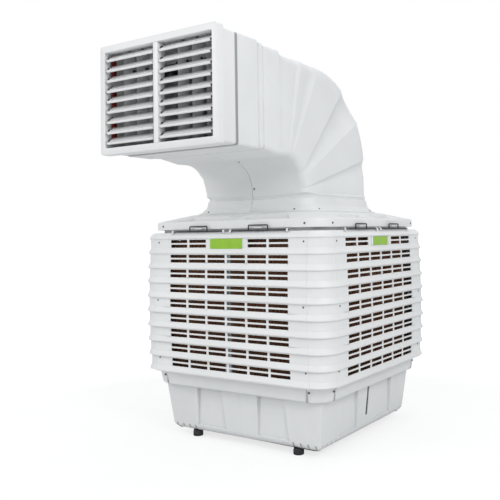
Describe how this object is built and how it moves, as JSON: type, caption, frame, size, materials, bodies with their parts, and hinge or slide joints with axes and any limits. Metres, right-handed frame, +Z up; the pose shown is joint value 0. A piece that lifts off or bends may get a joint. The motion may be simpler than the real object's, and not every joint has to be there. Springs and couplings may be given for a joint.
{
  "type": "ducted evaporative air cooler",
  "caption": "Free-standing evaporative cooler: louvred square body over a water tank, topped by an elbow duct whose outlet has tilting blades and swinging vanes.",
  "frame": {"origin": "on the floor under the middle of the overall length and width, 216 mm in front of the middle of the louvred body", "axes": "+Z up, the outlet faces -Y, +X is the right hand of someone who looks at the outlet"},
  "size_m": [1.1138, 1.5458, 1.841],
  "materials": {
    "white_plastic": "moulded light grey-white, fine satin grain",
    "tank_plastic": "moulded pale grey, fine satin grain",
    "outlet_plastic": "moulded white, soft sheen",
    "blade_plastic": "extruded white, soft sheen",
    "grey_plastic": "moulded mid grey",
    "black_plastic": "moulded black",
    "red_plastic": "moulded dark red",
    "pipe_plastic": "white pipe",
    "cellulose": "fluted brown cellulose paper",
    "black_rubber": "black rubber",
    "black_wire": "black coated steel wire",
    "motor_paint": "grey enamel on ribbed cast housing"
  },
  "bodies": {
    "root": {"tank": "tank_plastic", "feet": "black_rubber", "corner_posts": "white_plastic", "top_cover": "white_plastic", "cooling_pads": "cellulose", "fan_shroud": "grey_plastic", "fan_motor": "motor_paint", "tank_fittings": "pipe_plastic", "pump": "black_plastic", "water_distributor": "pipe_plastic", "duct_left_half": "white_plastic", "duct_right_half": "white_plastic", "outlet_housing": "outlet_plastic", "swing_motor": "black_plastic"},
    "fan_impeller": {"fan_impeller": "grey_plastic"},
    "float_arm": {"float_arm": "pipe_plastic"},
    "panel_front": {"panel_front": "white_plastic"},
    "latch_front_a": {"latch_front_a": "black_wire"},
    "latch_front_b": {"latch_front_b": "black_wire"},
    "panel_right": {"panel_right": "white_plastic"},
    "latch_right_a": {"latch_right_a": "black_wire"},
    "latch_right_b": {"latch_right_b": "black_wire"},
    "panel_back": {"panel_back": "white_plastic"},
    "latch_back_a": {"latch_back_a": "black_wire"},
    "latch_back_b": {"latch_back_b": "black_wire"},
    "panel_left": {"panel_left": "white_plastic"},
    "latch_left_a": {"latch_left_a": "black_wire"},
    "latch_left_b": {"latch_left_b": "black_wire"},
    "blade_left_1": {"blade_left_1": "blade_plastic"},
    "blade_left_2": {"blade_left_2": "blade_plastic"},
    "blade_left_3": {"blade_left_3": "blade_plastic"},
    "blade_link_left_1": {"blade_link_left_1": "red_plastic"},
    "blade_left_4": {"blade_left_4": "blade_plastic"},
    "blade_left_5": {"blade_left_5": "blade_plastic"},
    "blade_left_6": {"blade_left_6": "blade_plastic"},
    "blade_link_left_2": {"blade_link_left_2": "red_plastic"},
    "blade_left_7": {"blade_left_7": "blade_plastic"},
    "blade_left_8": {"blade_left_8": "blade_plastic"},
    "blade_left_9": {"blade_left_9": "blade_plastic"},
    "blade_link_left_3": {"blade_link_left_3": "red_plastic"},
    "blade_right_1": {"blade_right_1": "blade_plastic"},
    "blade_right_2": {"blade_right_2": "blade_plastic"},
    "blade_right_3": {"blade_right_3": "blade_plastic"},
    "blade_link_right_1": {"blade_link_right_1": "red_plastic"},
    "blade_right_4": {"blade_right_4": "blade_plastic"},
    "blade_right_5": {"blade_right_5": "blade_plastic"},
    "blade_right_6": {"blade_right_6": "blade_plastic"},
    "blade_link_right_2": {"blade_link_right_2": "red_plastic"},
    "blade_right_7": {"blade_right_7": "blade_plastic"},
    "blade_right_8": {"blade_right_8": "blade_plastic"},
    "blade_right_9": {"blade_right_9": "blade_plastic"},
    "blade_link_right_3": {"blade_link_right_3": "red_plastic"},
    "vane_1": {"vane_1": "outlet_plastic"},
    "vane_2": {"vane_2": "outlet_plastic"},
    "vane_3": {"vane_3": "outlet_plastic"},
    "vane_4": {"vane_4": "outlet_plastic"},
    "vane_5": {"vane_5": "outlet_plastic"},
    "vane_6": {"vane_6": "outlet_plastic"},
    "vane_tie_bar": {"vane_tie_bar": "black_plastic"},
    "swing_crank": {"swing_crank": "black_plastic"}
  },
  "joints": [
    {"name": "fan_spin", "type": "hinge", "parent": "root", "child": "fan_impeller", "pos_m": [0, 0.21607, 1], "axis": [0, 0, 1], "continuous": true},
    {"name": "float_swing", "type": "hinge", "parent": "root", "child": "float_arm", "pos_m": [-0.38618, 0.21607, 0.212], "axis": [0, -1, 0], "range_deg": [0, 38]},
    {"name": "panel_front_tilt", "type": "hinge", "parent": "root", "child": "panel_front", "pos_m": [0, -0.32593, 0.3354], "axis": [1, 0, 0], "range_deg": [0, 30]},
    {"name": "latch_front_a_swing", "type": "hinge", "parent": "panel_front", "child": "latch_front_a", "pos_m": [0, -0.30893, 1.02], "axis": [1, 0, 0], "range_deg": [0, 100]},
    {"name": "latch_front_b_swing", "type": "hinge", "parent": "panel_front", "child": "latch_front_b", "pos_m": [0, -0.30893, 1.02], "axis": [1, 0, 0], "range_deg": [0, 100]},
    {"name": "panel_right_tilt", "type": "hinge", "parent": "root", "child": "panel_right", "pos_m": [0.542, 0.21607, 0.3354], "axis": [0, 1, 0], "range_deg": [0, 30]},
    {"name": "latch_right_a_swing", "type": "hinge", "parent": "panel_right", "child": "latch_right_a", "pos_m": [0.525, 0.21607, 1.02], "axis": [0, 1, 0], "range_deg": [0, 100]},
    {"name": "latch_right_b_swing", "type": "hinge", "parent": "panel_right", "child": "latch_right_b", "pos_m": [0.525, 0.21607, 1.02], "axis": [0, 1, 0], "range_deg": [0, 100]},
    {"name": "panel_back_tilt", "type": "hinge", "parent": "root", "child": "panel_back", "pos_m": [0, 0.75807, 0.3354], "axis": [-1, 0, 0], "range_deg": [0, 30]},
    {"name": "latch_back_a_swing", "type": "hinge", "parent": "panel_back", "child": "latch_back_a", "pos_m": [0, 0.74107, 1.02], "axis": [-1, 0, 0], "range_deg": [0, 100]},
    {"name": "latch_back_b_swing", "type": "hinge", "parent": "panel_back", "child": "latch_back_b", "pos_m": [0, 0.74107, 1.02], "axis": [-1, 0, 0], "range_deg": [0, 100]},
    {"name": "panel_left_tilt", "type": "hinge", "parent": "root", "child": "panel_left", "pos_m": [-0.542, 0.21607, 0.3354], "axis": [0, -1, 0], "range_deg": [0, 30]},
    {"name": "latch_left_a_swing", "type": "hinge", "parent": "panel_left", "child": "latch_left_a", "pos_m": [-0.525, 0.21607, 1.02], "axis": [0, -1, 0], "range_deg": [0, 100]},
    {"name": "latch_left_b_swing", "type": "hinge", "parent": "panel_left", "child": "latch_left_b", "pos_m": [-0.525, 0.21607, 1.02], "axis": [0, -1, 0], "range_deg": [0, 100]},
    {"name": "blade_left_1_tilt", "type": "hinge", "parent": "root", "child": "blade_left_1", "pos_m": [0, -0.74993, 1.7884], "axis": [1, 0, 0], "range_deg": [-78, 12]},
    {"name": "blade_left_2_tilt", "type": "hinge", "parent": "root", "child": "blade_left_2", "pos_m": [0, -0.74993, 1.7428], "axis": [1, 0, 0], "range_deg": [-78, 12]},
    {"name": "blade_left_3_tilt", "type": "hinge", "parent": "root", "child": "blade_left_3", "pos_m": [0, -0.74993, 1.6972], "axis": [1, 0, 0], "range_deg": [-78, 12]},
    {"name": "blade_link_left_1_turn", "type": "hinge", "parent": "blade_left_1", "child": "blade_link_left_1", "pos_m": [0, -0.73496, 1.8001], "axis": [1, 0, 0], "range_deg": [-12, 78]},
    {"name": "blade_left_4_tilt", "type": "hinge", "parent": "root", "child": "blade_left_4", "pos_m": [0, -0.74993, 1.6516], "axis": [1, 0, 0], "range_deg": [-78, 12]},
    {"name": "blade_left_5_tilt", "type": "hinge", "parent": "root", "child": "blade_left_5", "pos_m": [0, -0.74993, 1.606], "axis": [1, 0, 0], "range_deg": [-78, 12]},
    {"name": "blade_left_6_tilt", "type": "hinge", "parent": "root", "child": "blade_left_6", "pos_m": [0, -0.74993, 1.5604], "axis": [1, 0, 0], "range_deg": [-78, 12]},
    {"name": "blade_link_left_2_turn", "type": "hinge", "parent": "blade_left_4", "child": "blade_link_left_2", "pos_m": [0, -0.73496, 1.6633], "axis": [1, 0, 0], "range_deg": [-12, 78]},
    {"name": "blade_left_7_tilt", "type": "hinge", "parent": "root", "child": "blade_left_7", "pos_m": [0, -0.74993, 1.5148], "axis": [1, 0, 0], "range_deg": [-78, 12]},
    {"name": "blade_left_8_tilt", "type": "hinge", "parent": "root", "child": "blade_left_8", "pos_m": [0, -0.74993, 1.4692], "axis": [1, 0, 0], "range_deg": [-78, 12]},
    {"name": "blade_left_9_tilt", "type": "hinge", "parent": "root", "child": "blade_left_9", "pos_m": [0, -0.74993, 1.4236], "axis": [1, 0, 0], "range_deg": [-78, 12]},
    {"name": "blade_link_left_3_turn", "type": "hinge", "parent": "blade_left_7", "child": "blade_link_left_3", "pos_m": [0, -0.73496, 1.5265], "axis": [1, 0, 0], "range_deg": [-12, 78]},
    {"name": "blade_right_1_tilt", "type": "hinge", "parent": "root", "child": "blade_right_1", "pos_m": [0, -0.74993, 1.7884], "axis": [1, 0, 0], "range_deg": [-78, 12]},
    {"name": "blade_right_2_tilt", "type": "hinge", "parent": "root", "child": "blade_right_2", "pos_m": [0, -0.74993, 1.7428], "axis": [1, 0, 0], "range_deg": [-78, 12]},
    {"name": "blade_right_3_tilt", "type": "hinge", "parent": "root", "child": "blade_right_3", "pos_m": [0, -0.74993, 1.6972], "axis": [1, 0, 0], "range_deg": [-78, 12]},
    {"name": "blade_link_right_1_turn", "type": "hinge", "parent": "blade_right_1", "child": "blade_link_right_1", "pos_m": [0, -0.73496, 1.8001], "axis": [1, 0, 0], "range_deg": [-12, 78]},
    {"name": "blade_right_4_tilt", "type": "hinge", "parent": "root", "child": "blade_right_4", "pos_m": [0, -0.74993, 1.6516], "axis": [1, 0, 0], "range_deg": [-78, 12]},
    {"name": "blade_right_5_tilt", "type": "hinge", "parent": "root", "child": "blade_right_5", "pos_m": [0, -0.74993, 1.606], "axis": [1, 0, 0], "range_deg": [-78, 12]},
    {"name": "blade_right_6_tilt", "type": "hinge", "parent": "root", "child": "blade_right_6", "pos_m": [0, -0.74993, 1.5604], "axis": [1, 0, 0], "range_deg": [-78, 12]},
    {"name": "blade_link_right_2_turn", "type": "hinge", "parent": "blade_right_4", "child": "blade_link_right_2", "pos_m": [0, -0.73496, 1.6633], "axis": [1, 0, 0], "range_deg": [-12, 78]},
    {"name": "blade_right_7_tilt", "type": "hinge", "parent": "root", "child": "blade_right_7", "pos_m": [0, -0.74993, 1.5148], "axis": [1, 0, 0], "range_deg": [-78, 12]},
    {"name": "blade_right_8_tilt", "type": "hinge", "parent": "root", "child": "blade_right_8", "pos_m": [0, -0.74993, 1.4692], "axis": [1, 0, 0], "range_deg": [-78, 12]},
    {"name": "blade_right_9_tilt", "type": "hinge", "parent": "root", "child": "blade_right_9", "pos_m": [0, -0.74993, 1.4236], "axis": [1, 0, 0], "range_deg": [-78, 12]},
    {"name": "blade_link_right_3_turn", "type": "hinge", "parent": "blade_right_7", "child": "blade_link_right_3", "pos_m": [0, -0.73496, 1.5265], "axis": [1, 0, 0], "range_deg": [-12, 78]},
    {"name": "vane_1_turn", "type": "hinge", "parent": "root", "child": "vane_1", "pos_m": [-0.237, -0.68693, 1.6], "axis": [0, 0, 1], "range_deg": [-35, 35]},
    {"name": "vane_2_turn", "type": "hinge", "parent": "root", "child": "vane_2", "pos_m": [-0.159, -0.68693, 1.6], "axis": [0, 0, 1], "range_deg": [-35, 35]},
    {"name": "vane_3_turn", "type": "hinge", "parent": "root", "child": "vane_3", "pos_m": [-0.081, -0.68693, 1.6], "axis": [0, 0, 1], "range_deg": [-35, 35]},
    {"name": "vane_4_turn", "type": "hinge", "parent": "root", "child": "vane_4", "pos_m": [0.081, -0.68693, 1.6], "axis": [0, 0, 1], "range_deg": [-35, 35]},
    {"name": "vane_5_turn", "type": "hinge", "parent": "root", "child": "vane_5", "pos_m": [0.159, -0.68693, 1.6], "axis": [0, 0, 1], "range_deg": [-35, 35]},
    {"name": "vane_6_turn", "type": "hinge", "parent": "root", "child": "vane_6", "pos_m": [0.237, -0.68693, 1.6], "axis": [0, 0, 1], "range_deg": [-35, 35]},
    {"name": "vane_tie_bar_turn", "type": "hinge", "parent": "vane_1", "child": "vane_tie_bar", "pos_m": [-0.237, -0.66193, 1.735], "axis": [0, 0, 1], "range_deg": [-35, 35]},
    {"name": "swing_crank_turn", "type": "hinge", "parent": "root", "child": "swing_crank", "pos_m": [0.022, -0.68693, 1.72], "axis": [0, 0, 1], "range_deg": [-35, 35]}
  ],
  "couplings": [
    {"joint": "blade_left_2_tilt", "follows": "blade_left_1_tilt", "ratio": 1},
    {"joint": "blade_left_3_tilt", "follows": "blade_left_1_tilt", "ratio": 1},
    {"joint": "blade_link_left_1_turn", "follows": "blade_left_1_tilt", "ratio": -1},
    {"joint": "blade_left_5_tilt", "follows": "blade_left_4_tilt", "ratio": 1},
    {"joint": "blade_left_6_tilt", "follows": "blade_left_4_tilt", "ratio": 1},
    {"joint": "blade_link_left_2_turn", "follows": "blade_left_4_tilt", "ratio": -1},
    {"joint": "blade_left_8_tilt", "follows": "blade_left_7_tilt", "ratio": 1},
    {"joint": "blade_left_9_tilt", "follows": "blade_left_7_tilt", "ratio": 1},
    {"joint": "blade_link_left_3_turn", "follows": "blade_left_7_tilt", "ratio": -1},
    {"joint": "blade_right_2_tilt", "follows": "blade_right_1_tilt", "ratio": 1},
    {"joint": "blade_right_3_tilt", "follows": "blade_right_1_tilt", "ratio": 1},
    {"joint": "blade_link_right_1_turn", "follows": "blade_right_1_tilt", "ratio": -1},
    {"joint": "blade_right_5_tilt", "follows": "blade_right_4_tilt", "ratio": 1},
    {"joint": "blade_right_6_tilt", "follows": "blade_right_4_tilt", "ratio": 1},
    {"joint": "blade_link_right_2_turn", "follows": "blade_right_4_tilt", "ratio": -1},
    {"joint": "blade_right_8_tilt", "follows": "blade_right_7_tilt", "ratio": 1},
    {"joint": "blade_right_9_tilt", "follows": "blade_right_7_tilt", "ratio": 1},
    {"joint": "blade_link_right_3_turn", "follows": "blade_right_7_tilt", "ratio": -1},
    {"joint": "vane_2_turn", "follows": "vane_1_turn", "ratio": 1},
    {"joint": "vane_3_turn", "follows": "vane_1_turn", "ratio": 1},
    {"joint": "vane_4_turn", "follows": "vane_1_turn", "ratio": 1},
    {"joint": "vane_5_turn", "follows": "vane_1_turn", "ratio": 1},
    {"joint": "vane_6_turn", "follows": "vane_1_turn", "ratio": 1},
    {"joint": "vane_tie_bar_turn", "follows": "vane_1_turn", "ratio": -1},
    {"joint": "swing_crank_turn", "follows": "vane_1_turn", "ratio": 1}
  ]
}
